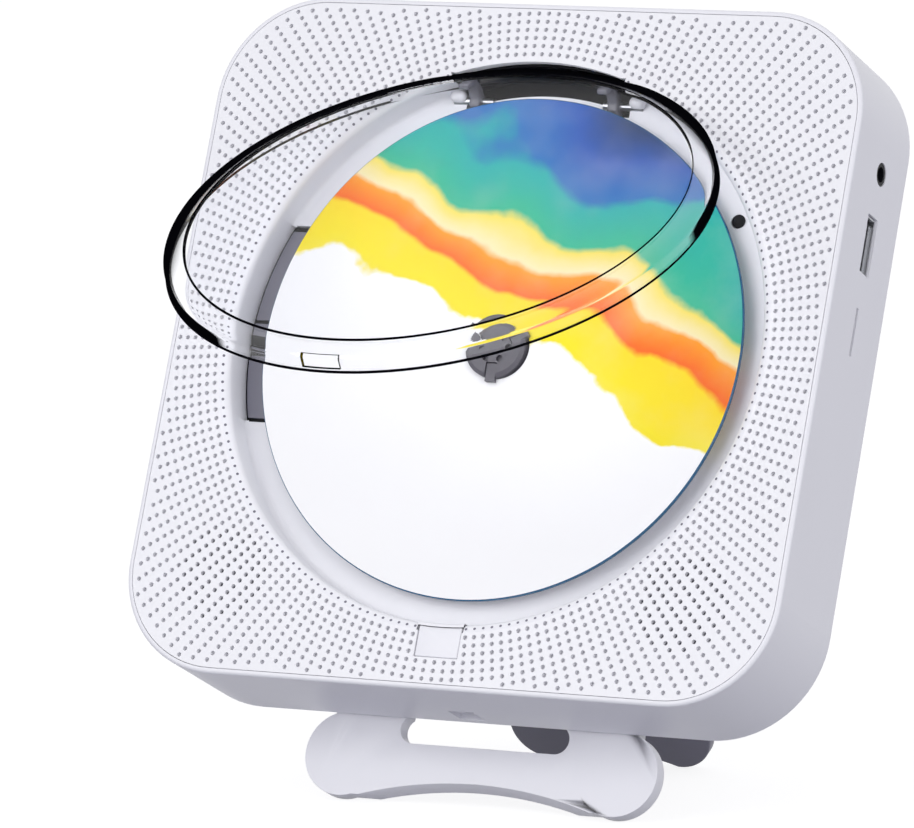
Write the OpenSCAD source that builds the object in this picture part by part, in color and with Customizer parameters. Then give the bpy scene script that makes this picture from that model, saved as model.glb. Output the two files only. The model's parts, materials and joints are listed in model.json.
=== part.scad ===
// Slim wall player for discs, shown leaning back on its stand with the clear lid open.
// The housing is drawn upright: X to the right, Y into the housing from its front face, Z up,
// with zero at the middle of the front face. seated() then leans it back onto the floor.

/* [Housing] */
// Width of the housing
body_w = 164; // [158:1:176]
// Height of the housing
body_h = 164; // [158:1:176]
// Depth of the housing from front face to back
body_d = 32; // [31:0.5:38]
// Radius of the housing's four corners
corner_r = 25.5; // [22:0.5:28]
// Thickness of the side walls
wall = 2.2; // [2:0.1:2.6]
// Thickness of the back wall
back_wall = 2.4; // [2:0.1:3]
// Width of the rim round the front panel
lip = 1.2; // [1:0.1:1.6]
// Angle that the housing leans back on its stand
lean = 22.9; // [15:0.5:28]

/* [Front panel] */
// Thickness of the perforated front skin
grille_t = 1.3; // [1:0.1:1.6]
// Thickness of the panel behind the skin
baffle_t = 1.8; // [1.5:0.1:2.2]
// Diameter of one hole in the skin
hole_d = 1.1; // [0.8:0.1:1.4]
// Distance between two rings of holes
ring_pitch = 3.3; // [3:0.1:5]
// Number of holes in one full ring
ring_holes = 120; // [60:4:128]

/* [Disc bay] */
// Inner radius of the round bay
bay_r = 66.4; // [65.8:0.1:66.8]
// Depth of the bay floor behind the front face
bay_floor_y = 8.4; // [8:0.1:9]
// Thickness of the bay floor
bay_t = 1.6; // [1.2:0.1:2]
// Depth of the disc's front face behind the housing's front face
disc_y = 3.85; // [3.4:0.05:4.2]
// Diameter of the disc
disc_d = 120; // [118:1:120]
// Thickness of the disc
disc_t = 1.2; // [1:0.1:1.4]
// Diameter of the disc's centre hole
disc_bore = 15; // [14:0.5:16]

/* [Lid] */
// Radius of the lid's rim
lid_r = 63.8; // [62.5:0.1:64.2]
// Depth of the lid from its face to its rim
lid_d = 7; // [6:0.1:7.4]
// Thickness of the clear lid
lid_t = 1.6; // [1.2:0.1:2]
// Angle that the lid stands open
lid_open = 42.5; // [20:0.5:44]
// Height of the lid's hinge above the middle of the bay
hinge_z = 60.2; // [59.8:0.1:60.6]
// Depth of the lid's hinge behind the front face
hinge_y = 8.6; // [8.2:0.1:9.2]
// Diameter of the hinge pins
pin_d = 2; // [1.6:0.1:2.2]

/* [Buttons] */
// Width of the lid's push button
push_w = 10.7; // [9:0.1:12]
// Length of one key on the top
key_l = 11; // [8:0.5:13]
// Distance between two keys on the top
key_pitch = 16; // [14:0.5:18]
// Travel of a key
key_travel = 0.8; // [0.5:0.1:1]

/* [Stand] */
// Thickness of the white foot plate
foot_t = 4; // [3:0.5:5]
// Distance from the housing's bottom to the lowest point of the foot plate
foot_drop = 19; // [16:0.5:24]
// Half the distance between the two rounded toes of the foot plate
toe_x = 34.6; // [33:0.1:38]
// Angle between the open prop and the back wall
prop_open = 48.3; // [42:0.1:54]
// Thickness of the folding prop
prop_t = 3.6; // [3:0.1:4]
// Height of the prop's hinge above the middle of the housing
prop_z = -10; // [-16:1:-6]

/* [Running fits] */
// Gap on the radius of a shaft that turns in a bore
run_gap = 0.05; // [0.03:0.01:0.08]
// Gap between a piece and the seat that it drops into
seat_gap = 0.15; // [0.1:0.05:0.2]

/* [Hidden] */
$fn = 64;
half_w = body_w / 2;
half_h = body_h / 2;
panel_w = body_w - 2 * lip;
panel_h = body_h - 2 * lip;
panel_r = corner_r - lip;
panel_y = grille_t + baffle_t;
inner_w = body_w - 2 * wall;
inner_h = body_h - 2 * wall;
inner_r = corner_r - wall;
back_y = body_d - back_wall;

// disc bay
bay_rim_t = 0.8;
bay_hole_r = bay_r + bay_rim_t + 0.1;
bay_back_y = bay_floor_y + bay_t;
relief = 1.1;
relief_x = 44;

// lid
lid_round = 7;
lid_face_y = 0.1;
arm_x = 17.6;
arm_t = 2.6;
eye_r = 2.2;
pin_r = pin_d / 2;
leg_in = 14.8;
leg_out = 20.8;
pocket_low = 56.4;
pocket_d = 6;
pocket_wall = 0.8;

// deck and drive
deck_y = 11;
deck_t = 1.6;
deck_low = -17.8;
deck_high = 25.4;
deck_right = 22;
deck_gap = 1.2;
ear_r = 4.4;
bush_x = [-50, 16];
bush_z = [-19, 20.2];
disc_back_y = disc_y + disc_t;
lens_x = -24;
rail_z = 11.5;
rail_y = 16.6;
rail_r = 1.5;

// ports on the right wall, by depth and height
aux_y = body_d / 2 + 0.2;
aux_z = 49.1;
usb_y = body_d / 2 - 0.4;
usb_z = 31.9;
card_y = body_d / 2 - 0.7;
card_z = 11.3;
dc_x = -1.2;
dc_y = body_d - 8.2;
speaker_x = half_w - 24;
speaker_z = -(half_h - 24);
speaker_r = 12.6;

// prop: it folds from the back wall out to the floor
prop_axis_y = body_d + 6.4;
foot_y0 = body_d + 0.15;
foot_low = -half_h - foot_drop;
toe_r = 10;
floor_z = -(foot_y0 + foot_t) * sin(lean) + foot_low * cos(lean);
// The prop is as long as it takes for its toes to reach the floor
prop_axis_floor = -prop_axis_y * sin(lean) + prop_z * cos(lean) - floor_z;
prop_l = (prop_axis_floor - prop_t / 2 * sin(prop_open - lean)) / cos(prop_open - lean);

// place of the housing on the floor
lid_low_y = hinge_y + (lid_face_y + lid_round - hinge_y) * cos(lid_open) - (lid_r - lid_round + hinge_z) * sin(lid_open);
lid_low_z = hinge_z - (lid_face_y + lid_round - hinge_y) * sin(lid_open) - (lid_r - lid_round + hinge_z) * cos(lid_open);
front_reach = lid_low_y * cos(lean) + lid_low_z * sin(lean) - lid_round;
prop_toe_y = prop_axis_y + prop_l * sin(prop_open);
prop_toe_z = prop_z - prop_l * cos(prop_open);
back_reach = prop_toe_y * cos(lean) + prop_toe_z * sin(lean) + prop_t / 2 * cos(prop_open - lean);
seat_y = -(front_reach + back_reach) / 2;
seat_z = -floor_z;

white = [0.95, 0.95, 0.97];
dark = [0.29, 0.29, 0.33];
black = [0.08, 0.08, 0.1];
steel = [0.7, 0.71, 0.74];
clear = [0.8, 0.88, 0.95, 0.4];
green = [0.1, 0.35, 0.2];

// Leans the upright housing back and sets it on the floor
module seated() {
  translate([0, seat_y, seat_z]) rotate([-lean, 0, 0]) children();
}

// Turns an outline drawn across and up into a solid that runs into the housing from depth y
module deep(y = 0) {
  translate([0, y, 0]) rotate([-90, 0, 0]) mirror([0, 1, 0]) children();
}

// A solid of an outline drawn across and up, from depth y0 to depth y1
module slab(y0, y1) {
  deep(y0) linear_extrude(height = y1 - y0) children();
}

// A round bar along Y from depth y0 to depth y1
module post(x, z, r, y0, y1) {
  translate([x, y0, z]) rotate([-90, 0, 0]) cylinder(r = r, h = y1 - y0);
}

// A round bar along X
module bar_x(x0, x1, y, z, r) {
  translate([x0, y, z]) rotate([0, 90, 0]) cylinder(r = r, h = x1 - x0);
}

// A box from its corners
module box(a, b) {
  translate(a) cube(b - a);
}

// A rectangle with round corners, centred
module rounded(w, h, corner) {
  r = min(corner, w / 2 - 0.01, h / 2 - 0.01);
  square([w - 2 * r, h], center = true);
  square([w, h - 2 * r], center = true);
  for (x = [-1, 1], y = [-1, 1]) translate([x * (w / 2 - r), y * (h / 2 - r)]) circle(r = r);
}

// Half section of a soft edged block: width u, depth d, front edge e1, back edge e2
module soft_edge(u, d, e1, e2) {
  translate([0, e1]) square([u, d - e1 - e2]);
  square([u - e1, e1 + 0.01]);
  translate([u - e1, e1]) circle(r = e1);
  translate([0, d - e2 - 0.01]) square([u - e2, e2 + 0.01]);
  translate([u - e2, d - e2]) circle(r = e2);
}

// A block with round corners and soft front and back edges
module soft_block(w, h, d, r, e1, e2) {
  for (sx = [-1, 1], sz = [-1, 1])
    translate([sx * (w / 2 - r), 0, sz * (h / 2 - r)]) deep() rotate_extrude($fn = 96)
      intersection() {
        soft_edge(r, d, e1, e2);
        square([r + 1, d]);
      }
  translate([-(w / 2 - r), 0, 0]) rotate([90, 0, 90]) linear_extrude(height = w - 2 * r)
    for (s = [0, 1]) mirror([0, s]) rotate(90) mirror([0, 1]) soft_edge(h / 2, d, e1, e2);
  translate([0, 0, -(h / 2 - r)]) linear_extrude(height = h - 2 * r)
    for (s = [0, 1]) mirror([s, 0]) soft_edge(w / 2, d, e1, e2);
}

// The round bay's outline with a little more room above for the lid's swing
module bay_outline(r) {
  circle(r = r, $fn = 128);
  intersection() {
    translate([0, relief]) circle(r = r, $fn = 128);
    translate([-relief_x, 0]) square([2 * relief_x, r + 5]);
  }
}

module push_outline(gap) {
  translate([-push_w / 2 - gap, -half_h + 7.6 - gap]) square([push_w + 2 * gap, 9]);
}

// screw posts that join the two halves of the housing
post_r = 3.2;
posts = [[-64, 64], [64, 64], [-75.6, -38], [75.6, -38]];
post_meet_y = 14;
module rear_shell() {
  color(white) seated() difference() {
    union() {
      difference() {
        soft_block(body_w, body_h, body_d, corner_r, 0.8, 2);
        slab(-1, panel_y) rounded(panel_w, panel_h, panel_r);
        slab(panel_y - 0.01, back_y) rounded(inner_w, inner_h, inner_r);
      }
      for (p = posts) post(p[0], p[1], post_r, post_meet_y, back_y + 0.1);
      for (p = board_posts) post(p[0], p[1], 2.4, board_y + 1.65, back_y + 0.1);
      for (s = [-1, 1]) box([s * key_end - 1.5, key_y - 2, key_board_z + 0.05], [s * key_end + 1.5, key_y + 2, half_h - wall + 0.1]);
    }
    for (p = posts) {
      post(p[0], p[1], 1.3, post_meet_y - 1, body_d + 1);
      post(p[0], p[1], 2.4, back_y - 2, body_d + 1);
    }
    bar_x(half_w - wall - 1, half_w + 1, aux_y, aux_z, 2.75);
    box([half_w - wall - 1, usb_y - 2.9, usb_z - 6.9], [half_w + 1, usb_y + 2.9, usb_z + 6.9]);
    box([half_w - wall - 1, card_y - 0.6, card_z - 5.7], [half_w + 1, card_y + 0.6, card_z + 5.7]);
    box([dc_x - 3.3, dc_y - 3.7, -half_h - 1], [dc_x + 3.3, dc_y + 3.7, -half_h + 1.2]);
    translate([dc_x, dc_y, -half_h - 1]) cylinder(r = 2.35, h = wall + 2);
    for (i = [0:4]) translate([key_x(i), key_y, half_h - wall - 1]) linear_extrude(height = wall + 2)
      rounded(key_l + 2 * seat_gap, key_w + 2 * seat_gap, key_w / 2);
    for (s = [-1, 1]) slab(back_y - 1, body_d + 1) keyhole(s * keyhole_x);
    for (p = foot_screws) post(p[0], p[1], 1.3, back_y - 1, body_d + 1);
    for (p = bracket_screws) post(p[0], p[1], 1.3, back_y - 1, body_d + 1);
    for (i = [-4:4]) slab(back_y - 1, body_d + 1) translate([i * 4, 28]) rounded(1.6, 16, 0.8);
  }
}

keyhole_x = 35;
keyhole_z = 44;
keyhole_r = 4.2;
keyhole_slot_r = 2.2;
module keyhole(x) {
  translate([x, keyhole_z]) circle(r = keyhole_r);
  translate([x - keyhole_slot_r, keyhole_z]) square([2 * keyhole_slot_r, 9]);
  translate([x, keyhole_z + 9]) circle(r = keyhole_slot_r);
}

bridge_y = 9.3;
module front_baffle() {
  color(white) seated() difference() {
    union() {
      slab(grille_t, panel_y) rounded(panel_w - 2 * seat_gap, panel_h - 2 * seat_gap, panel_r - seat_gap);
      for (p = posts) post(p[0], p[1], post_r, panel_y - 0.1, post_meet_y);
      for (s = [0, 1]) mirror([s, 0, 0]) box([push_w / 2 + 0.35, panel_y - 0.1, push_z - 7], [push_w / 2 + 1.6, bridge_y + 1, push_z + 1.6]);
      box([-push_w / 2 - 1.6, bridge_y, push_z - 7], [push_w / 2 + 1.6, bridge_y + 1, push_z + 3]);
    }
    slab(grille_t - 1, panel_y + 1) bay_outline(bay_hole_r);
    slab(grille_t - 1, panel_y + 1) push_outline(0.2);
    for (s = [-1, 1]) post(s * speaker_x, speaker_z, speaker_r - 1.4, grille_t - 1, panel_y + 1);
    for (p = posts) post(p[0], p[1], 1.1, panel_y, post_meet_y + 1);
  }
}

hole_first_r = bay_r + 3.3;
hole_edge = 1.7;
function in_panel(x, y) =
  let (w = panel_w / 2 - hole_edge, h = panel_h / 2 - hole_edge, r = panel_r - hole_edge,
    dx = abs(x) - (w - r), dy = abs(y) - (h - r))
  abs(x) < w && abs(y) < h && (dx < 0 || dy < 0 || dx * dx + dy * dy < r * r);
function by_button(x, y) = abs(x) < push_w / 2 + 0.8 && y < 0 && y > -half_h + 7;
hole_places = [for (k = [0:floor((norm([half_w, half_h]) - hole_first_r) / ring_pitch)])
  for (i = [0:ring_holes - 1])
    let (r = hole_first_r + k * ring_pitch, a = i * 360 / ring_holes, x = r * cos(a), y = r * sin(a))
    if (in_panel(x, y) && !by_button(x, y)) [x, y]];
module front_grille() {
  color(white) seated() deep() linear_extrude(height = grille_t) difference() {
    rounded(panel_w - 2 * seat_gap, panel_h - 2 * seat_gap, panel_r - seat_gap);
    bay_outline(bay_hole_r);
    push_outline(0.2);
    for (p = hole_places) translate(p) circle(d = hole_d, $fn = 16);
  }
}

mech_right = deck_right + deck_gap;
module mech_opening(gap) {
  difference() {
    intersection() {
      circle(r = bay_r - 2 - gap, $fn = 128);
      translate([-bay_r, deck_low - deck_gap + gap])
        square([bay_r + mech_right - gap, deck_high - deck_low + 2 * deck_gap - 2 * gap]);
    }
    if (gap == 0) for (x = bush_x, z = bush_z) {
      translate([x, z]) circle(r = ear_r);
      translate([x - ear_r, z < 0 ? z - 2 * ear_r : z]) square([2 * ear_r, 2 * ear_r]);
    }
  }
}

// outline of the black pocket that the lid's arms swing in
module pocket_outline(gap) {
  intersection() {
    union() {
      difference() {
        circle(r = bay_r + 1.4 + gap, $fn = 128);
        circle(r = bay_r - 4.4 - gap, $fn = 128);
      }
      translate([-leg_out - gap, pocket_low - gap]) square([leg_out - leg_in + 2 * gap, 8]);
      translate([leg_in - gap, pocket_low - gap]) square([leg_out - leg_in + 2 * gap, 8]);
    }
    translate([-leg_out - gap, pocket_low - gap]) square([2 * (leg_out + gap), 20]);
  }
}

bay_flange_r = bay_r + 2.6;
boss_end_x = leg_out + pocket_wall + 3.2;
module disc_bay() {
  color(white) seated() difference() {
    union() {
      deep() rotate_extrude($fn = 128) difference() {
        union() {
          translate([bay_r, 0.5]) square([bay_rim_t, bay_back_y - 0.5]);
          translate([bay_r + bay_rim_t / 2, 0.5]) circle(r = bay_rim_t / 2);
          translate([bay_r, panel_y + 0.1]) square([bay_flange_r - bay_r, 1.5]);
          translate([bay_r - 2, bay_floor_y - 2]) square([2.1, 2 + bay_t]);
          translate([17, bay_floor_y]) square([bay_r - 17, bay_t]);
        }
        translate([bay_r - 2, bay_floor_y - 2]) circle(r = 2);
      }
      for (s = [-1, 1]) boss(s);
      for (x = bush_x, z = bush_z) post(x, z, 1.6, bay_back_y - 0.1, bay_back_y + 4.6);
    }
    slab(bay_floor_y - 0.1, bay_back_y + 0.1) mech_opening(0);
    slab(bay_floor_y - 2.1, bay_back_y + 0.1) pocket_outline(0);
    slab(0, bay_back_y + 0.1) intersection() {
      difference() {
        circle(r = bay_r + 4, $fn = 128);
        circle(r = bay_r - 0.4, $fn = 128);
      }
      translate([-leg_out - pocket_wall - seat_gap, 50]) square([2 * (leg_out + pocket_wall + seat_gap), 30]);
    }
    slab(-1, 7) intersection() {
      translate([0, relief]) circle(r = bay_r, $fn = 128);
      translate([-relief_x, 30]) square([2 * relief_x, 60]);
    }
    for (s = [0, 1]) mirror([s, 0, 0]) bar_x(leg_in - 0.9, boss_end_x - 0.6, hinge_y, hinge_z, pin_r + 0.02);
    post(ir_x, ir_z, ir_r + 0.1, bay_floor_y - 1, bay_back_y + 1);
    for (x = bush_x, z = bush_z) post(x, z, 0.8, bay_back_y, bay_back_y + 5);
    post(0, push_z, 3.1, panel_y, bay_floor_y);
    box([-latch_w / 2 - 0.3, latch_y - 0.3, -bay_r - 4], [latch_w / 2 + 0.3, latch_y + latch_t + 0.3, -bay_r + 3]);
  }
}
module boss(s) {
  x0 = leg_out + pocket_wall + 0.1;
  bar_x(min(s * x0, s * boss_end_x), max(s * x0, s * boss_end_x), hinge_y, hinge_z, 1.6);
}

module hinge_pocket() {
  color(black) seated() difference() {
    union() {
      slab(bay_back_y, bay_floor_y + pocket_d + pocket_wall) pocket_outline(pocket_wall);
      slab(panel_y + 0.1, bay_back_y + 0.1) intersection() {
        difference() {
          circle(r = bay_r + 1.4 + pocket_wall, $fn = 128);
          circle(r = bay_r + 1.4, $fn = 128);
        }
        translate([-leg_out - pocket_wall, 50]) square([2 * (leg_out + pocket_wall), 30]);
      }
    }
    slab(bay_back_y - 1, bay_floor_y + pocket_d) pocket_outline(0);
    for (s = [-1, 1]) bar_x(s > 0 ? leg_in - 2 : -leg_out - 2, s > 0 ? leg_out + 2 : -leg_in + 2,
      hinge_y, hinge_z, pin_r + 0.02);
  }
}

module hinge_pins() {
  color(steel) seated() for (s = [0, 1]) mirror([s, 0, 0])
    bar_x(leg_in - 0.8, boss_end_x - 0.7, hinge_y, hinge_z, pin_r);
}

// turns the closed lid about its hinge to where it stands open
module opened() {
  translate([0, hinge_y, hinge_z]) rotate([-lid_open, 0, 0]) translate([0, -hinge_y, -hinge_z]) children();
}

module lid() {
  color(clear) seated() opened() difference() {
    union() {
      translate([0, lid_face_y, 0]) deep() rotate_extrude($fn = 128) difference() {
        union() {
          square([lid_r - lid_round, lid_t]);
          intersection() {
            translate([lid_r - lid_round, lid_round]) circle(r = lid_round);
            translate([lid_r - lid_round - 0.01, 0]) square([lid_round + 1, lid_d - lid_face_y]);
          }
        }
        translate([lid_r - lid_round, lid_round]) circle(r = lid_round - lid_t);
        translate([0, lid_t]) square([lid_r - lid_round, lid_d]);
      }
      for (s = [-1, 1]) translate([s * arm_x - arm_t / 2, 0, 0]) rotate([90, 0, 90])
        linear_extrude(height = arm_t) {
          polygon([[lid_face_y + 0.8, hinge_z - 1.6], [lid_face_y + 2.2, hinge_z + 0.6],
            [hinge_y - 1, hinge_z + eye_r], [hinge_y, hinge_z + eye_r], [hinge_y, hinge_z - eye_r],
            [hinge_y - 1.6, hinge_z - 1.5]]);
          translate([hinge_y, hinge_z]) circle(r = eye_r);
        }
    }
    bar_x(-30, 30, hinge_y, hinge_z, pin_r + run_gap);
    for (s = [0, 1]) mirror([s, 0, 0]) bar_x(leg_out + 0.4, boss_end_x + 0.6, hinge_y, hinge_z, 2);
    box([-4.65, 3.4, -lid_r - 1], [4.65, 6, -lid_r + 4]);
  }
}

push_y = 0.25;
push_t = 1.6;
push_travel = 1.2;
module open_button() {
  color(white) seated() {
    slab(push_y, push_y + push_t) intersection() {
      push_outline(0);
      difference() {
        translate([-push_w, -half_h]) square([2 * push_w, half_h]);
        circle(r = bay_hole_r + 0.1, $fn = 128);
      }
    }
    post(0, push_z, 2.4, push_y + push_t - 0.1, push_y + 6);
  }
}
push_z = -half_h + 11;
// both springs are drawn as long as they are when they are pushed home
module button_spring() {
  color(steel) seated() difference() {
    post(0, push_z, 2.2, push_y + 6.05 + push_travel, bridge_y - 0.05);
    post(0, push_z, 1.6, push_y + 6, bridge_y);
  }
}

latch_w = 8;
latch_t = 1.8;
latch_y = 5.2;
latch_travel = 1.4;
latch_low = -half_h + 4.6;
module lid_latch() {
  color(white) seated() difference() {
    box([-latch_w / 2, latch_y, latch_low], [latch_w / 2, latch_y + latch_t, -bay_r + 0.5]);
    box([-2.8, latch_y - 1, push_z - 3], [2.8, latch_y + 3, push_z + 2.4 + latch_travel + 0.3]);
  }
}

module latch_spring() {
  color(steel) seated() translate([0, latch_y + latch_t / 2, -half_h + wall + 0.1])
    cylinder(r = 0.8, h = latch_low - latch_travel - 0.1 - (-half_h + wall + 0.1));
}

ir_x = 52.5;
ir_z = 34.1;
ir_r = 1.6;
module ir_window() {
  color(black) seated() post(ir_x, ir_z, ir_r, bay_floor_y - 0.3, bay_back_y + 1.2);
}

slot_z = 6.5;
module mech_deck() {
  color(dark) seated() difference() {
    union() {
      slab(deck_y, deck_y + deck_t) {
        mech_opening(deck_gap + 0.001);
        for (x = bush_x, z = bush_z) translate([x, z]) circle(r = ear_r + 0.8);
      }
      for (z = [-1, 1]) {
        box([-13.5, deck_y + deck_t - 0.1, z * rail_z - 3], [-10.5, rail_y + 3, z * rail_z + 3]);
        box([-66, deck_y + deck_t - 0.1, z * rail_z - 3], [-57, deck_y + deck_t + 1.3, z * rail_z + 3]);
        box([-66, deck_y + deck_t - 0.1, z * rail_z - 3], [-63.2, rail_y + 3, z * rail_z + 3]);
      }
    }
    post(0, 0, 4.6, deck_y - 1, deck_y + deck_t + 1);
    slab(deck_y - 1, deck_y + deck_t + 1) polygon([[-59.6, -slot_z], [-14, -slot_z], [-14, slot_z], [-59.6, slot_z]]);
    for (x = bush_x, z = bush_z) post(x, z, 2.6, deck_y - 1, deck_y + deck_t + 1);
    for (z = [-1, 1]) bar_x(-65, -5, rail_y, z * rail_z, rail_r + 0.02);
  }
}

module deck_bushes() {
  color(black) seated() for (x = bush_x, z = bush_z) translate([x, bay_back_y, z]) deep() rotate_extrude() difference() {
    translate([1.65, 0]) square([2.2, 4.4]);
    translate([2.55, deck_y - bay_back_y - 0.02]) square([2, deck_t + 0.04]);
  }
}

module deck_screws() {
  color(steel) seated() for (x = bush_x, z = bush_z) {
    post(x, z, 3, bay_back_y + 4.7, bay_back_y + 5.9);
    post(x, z, 0.75, bay_back_y + 0.5, bay_back_y + 5);
  }
}

motor_r = 12;
motor_y = deck_y + deck_t;
module spindle_motor() {
  color(steel) seated() difference() {
    union() {
      post(0, 0, motor_r, motor_y, motor_y + 8);
      post(0, 0, 3.4, motor_y - 1, motor_y + 1);
    }
    post(0, 0, 1 + run_gap, motor_y - 2, motor_y + 6);
  }
}

turntable_r = 14;
hub_r = disc_bore / 2 - 0.05;
hub_front_y = 2.2;
module turntable() {
  color(dark) seated() difference() {
    deep() rotate_extrude() polygon([[0, hub_front_y], [hub_r - 0.9, hub_front_y], [hub_r, hub_front_y + 0.5],
      [hub_r, disc_back_y], [turntable_r, disc_back_y], [turntable_r, disc_back_y + 1.5], [4, disc_back_y + 1.5],
      [4, motor_y - 1.3], [1, motor_y - 1.3], [1, motor_y + 5.5], [0, motor_y + 5.5]]);
    for (a = [30, 150, 270]) rotate([0, -a, 0]) box([3.9, hub_front_y - 1, -1.4], [hub_r + 1, disc_y - 0.03, 1.4]);
    for (a = [0:60:300]) rotate([0, -a, 0]) post(3.4, 0, 0.8, hub_front_y - 1, hub_front_y + 1);
  }
}

module hub_jaws() {
  color(dark) seated() for (a = [30, 150, 270]) rotate([0, -a, 0])
    box([4.1, hub_front_y + 0.4, -1.2], [hub_r + 0.9, disc_y - 0.05, 1.2]);
}

module compact_disc() {
  color([0.9, 0.85, 0.5]) seated() difference() {
    translate([0, disc_y, 0]) rotate([-90, 0, 0]) cylinder(r = disc_d / 2, h = disc_t, $fn = 128);
    post(0, 0, disc_bore / 2, disc_y - 1, disc_back_y + 1);
  }
}

module pickup_sled() {
  color(dark) seated() difference() {
    union() {
      box([lens_x - 7, rail_y - 2.4, -rail_z - 3], [lens_x + 7, rail_y + 2.6, rail_z + 3]);
      post(lens_x, 0, 4, bay_floor_y + 0.6, rail_y);
    }
    for (z = [-1, 1]) bar_x(lens_x - 12, lens_x + 12, rail_y, z * rail_z, rail_r + run_gap);
    post(lens_x, 0, 2.6, bay_floor_y, bay_floor_y + 2);
  }
}

module pickup_lens() {
  color(clear) seated() intersection() {
    post(lens_x, 0, 2.5, bay_floor_y + 0.3, bay_floor_y + 2);
    translate([lens_x, bay_floor_y + 5.3, 0]) sphere(r = 5);
  }
}

module guide_rails() {
  color(steel) seated() for (z = [-1, 1]) bar_x(-64.9, -10, rail_y, z * rail_z, rail_r);
}

board_y = 22;
board_posts = [[-56, -30], [40, -30], [-56, 48], [40, 48]];
module main_board() {
  color(green) seated() {
    box([-60, board_y, -34], [44, board_y + 1.6, 52]);
    for (p = [[-40, 30, 16], [0, 30, 11], [-30, -16, 9]]) box([p[0], board_y - 2, p[1]], [p[0] + p[2], board_y, p[1] + p[2]]);
  }
}

module io_board() {
  color(green) seated() box([half_w - wall - 14, usb_y + 3.6, card_z - 9], [half_w - wall - 1, usb_y + 5.2, aux_z + 6]);
}

module usb_port() {
  color(steel) seated() difference() {
    union() {
      box([half_w - wall - 13, usb_y - 2.7, usb_z - 6.7], [half_w - 0.6, usb_y + 2.7, usb_z + 6.7]);
      box([half_w - wall - 13, usb_y + 2, usb_z - 6.7], [half_w - wall - 0.4, usb_y + 3.55, usb_z + 6.7]);
    }
    box([half_w - wall - 12, usb_y - 2.3, usb_z - 6.3], [half_w + 1, usb_y + 2.3, usb_z + 6.3]);
  }
  color(white) seated() box([half_w - wall - 12, usb_y + 0.2, usb_z - 5.6], [half_w - 2, usb_y + 1.9, usb_z + 5.6]);
}

module card_socket() {
  color(steel) seated() difference() {
    box([half_w - wall - 13, card_y - 1.2, card_z - 6.4], [half_w - wall - 0.1, card_y + 3.8, card_z + 6.4]);
    box([half_w - wall - 12, card_y - 0.5, card_z - 5.6], [half_w, card_y + 0.5, card_z + 5.6]);
  }
}

module aux_jack() {
  color(black) seated() difference() {
    union() {
      box([half_w - wall - 12, aux_y - 3.2, aux_z - 3.2], [half_w - wall - 0.1, aux_y + 2.9, aux_z + 3.2]);
      bar_x(half_w - wall - 0.2, half_w - 0.2, aux_y, aux_z, 2.6);
    }
    bar_x(half_w - wall - 13, half_w + 1, aux_y, aux_z, 1.8);
  }
}

module dc_jack() {
  color(black) seated() difference() {
    translate([dc_x - 4.4, dc_y - 4.4, -half_h + wall + 0.1]) cube([8.8, 8.8, 11]);
    translate([dc_x, dc_y, -half_h]) cylinder(r = 2.3, h = 10);
  }
  color(steel) seated() translate([dc_x, dc_y, -half_h + wall + 1]) cylinder(r = 0.7, h = 9.5);
}

module speaker_frames() {
  color(dark) seated() for (s = [-1, 1]) translate([s * speaker_x, panel_y, speaker_z]) deep() rotate_extrude() {
    difference() {
      square([speaker_r, 7]);
      polygon([[0, -1], [speaker_r - 1.2, -1], [speaker_r - 1.2, 1.2], [6.4, 6.2], [6.4, 8], [0, 8]]);
    }
  }
}

module speaker_cones() {
  color(black) seated() for (s = [-1, 1]) translate([s * speaker_x, panel_y, speaker_z]) deep() rotate_extrude()
    polygon([[0, 3.4], [3, 4], [speaker_r - 1.4, 0.6], [speaker_r - 1.4, 1.1], [3.2, 4.8], [0, 4.4]]);
}

module speaker_magnets() {
  color(steel) seated() for (s = [-1, 1]) post(s * speaker_x, speaker_z, 9, panel_y + 7, panel_y + 12);
}

key_y = 17;
key_end = 2.5 * key_pitch;
key_foot_z = half_h - wall - 1.1;
key_board_z = key_foot_z - 3.5;
key_w = 5;
function key_x(i) = (i - 2) * key_pitch;
module key(i) {
  color(white) seated() {
    translate([key_x(i), key_y, key_foot_z + 0.5]) linear_extrude(height = wall + 1.5) rounded(key_l, key_w, key_w / 2);
    translate([key_x(i), key_y, key_foot_z]) linear_extrude(height = 1) rounded(key_l + 2, key_w + 2, key_w / 2 + 1);
  }
}
module key_1() key(0);
module key_2() key(1);
module key_3() key(2);
module key_4() key(3);
module key_5() key(4);

module key_board() {
  color(green) seated() {
    box([-key_end - 2, key_y - 4, key_board_z - 1.4], [key_end + 2, key_y + 4, key_board_z]);
    for (i = [0:4]) translate([key_x(i), key_y, key_board_z - 0.1]) cylinder(r = 1.6, h = 3.5 - key_travel);
  }
}

module housing_screws() {
  color(steel) seated() for (p = posts) {
    post(p[0], p[1], 2.2, back_y - 1.9, back_y - 0.4);
    post(p[0], p[1], 1.05, post_meet_y - 6, back_y - 1);
  }
}

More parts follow.
